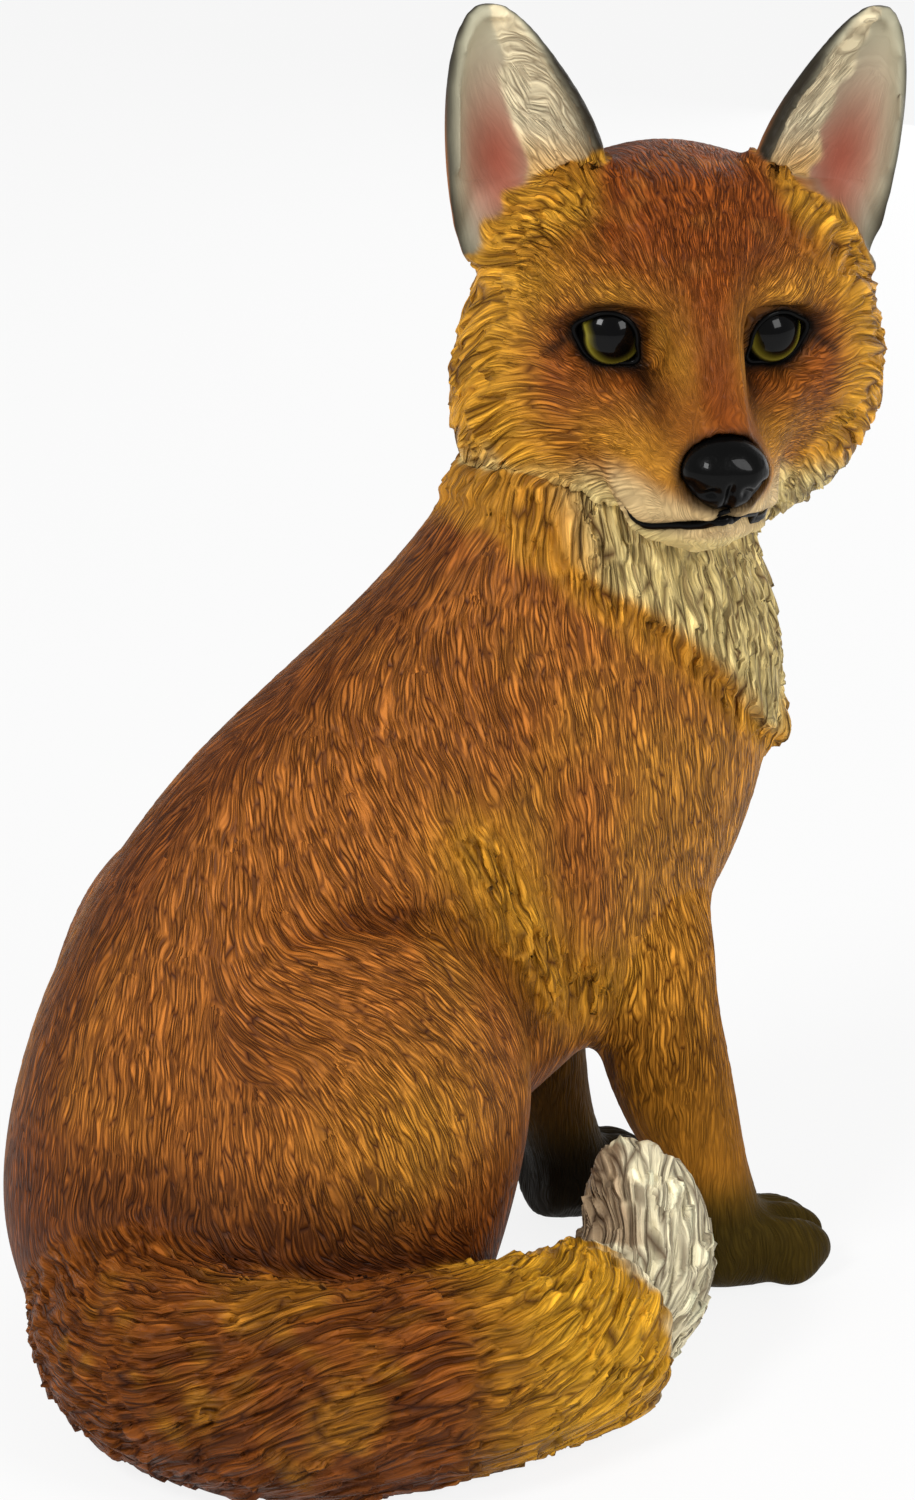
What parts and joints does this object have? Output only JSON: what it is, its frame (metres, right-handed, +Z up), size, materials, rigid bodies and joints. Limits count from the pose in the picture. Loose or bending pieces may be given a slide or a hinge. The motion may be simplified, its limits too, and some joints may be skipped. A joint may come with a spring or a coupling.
{
  "type": "fox figurine",
  "caption": "Life-like figurine of a young red fox that sits upright with its tail round its flank and looks over its right shoulder.",
  "frame": {"origin": "middle of the flat underside of the base plate, on the ground", "axes": "+Z up, -Y the way the fox's chest and forepaws face, +X the fox's left side"},
  "size_m": [0.2369, 0.3252, 0.444],
  "materials": {
    "painted_resin": "cast polyresin, airbrushed orange brown over dark grooves, matt lacquer",
    "plain_resin": "unpainted cast polyresin",
    "ear_resin": "cast polyresin, grey black with a pink inside and cream tufts",
    "eye_glass": "clear domed glass",
    "eye_paint": "painted yellow green iris with a black pupil",
    "nose_gloss": "gloss black",
    "leg_resin": "cast polyresin, orange brown that darkens to near black at the paws",
    "white_resin": "cast polyresin, cream white",
    "rod_steel": "plain steel"
  },
  "bodies": {
    "root": {"torso_shell": "painted_resin", "base_plate": "plain_resin", "head_shell": "painted_resin", "left_ear": "ear_resin", "right_ear": "ear_resin", "left_eye_lens": "eye_glass", "right_eye_lens": "eye_glass", "left_eye_iris": "eye_paint", "right_eye_iris": "eye_paint", "nose_pad": "nose_gloss", "left_foreleg": "leg_resin", "right_foreleg": "leg_resin", "left_foreleg_rod": "rod_steel", "right_foreleg_rod": "rod_steel", "left_hind_paw": "leg_resin", "right_hind_paw": "leg_resin", "tail": "painted_resin", "tail_tip": "white_resin"}
  },
  "joints": []
}
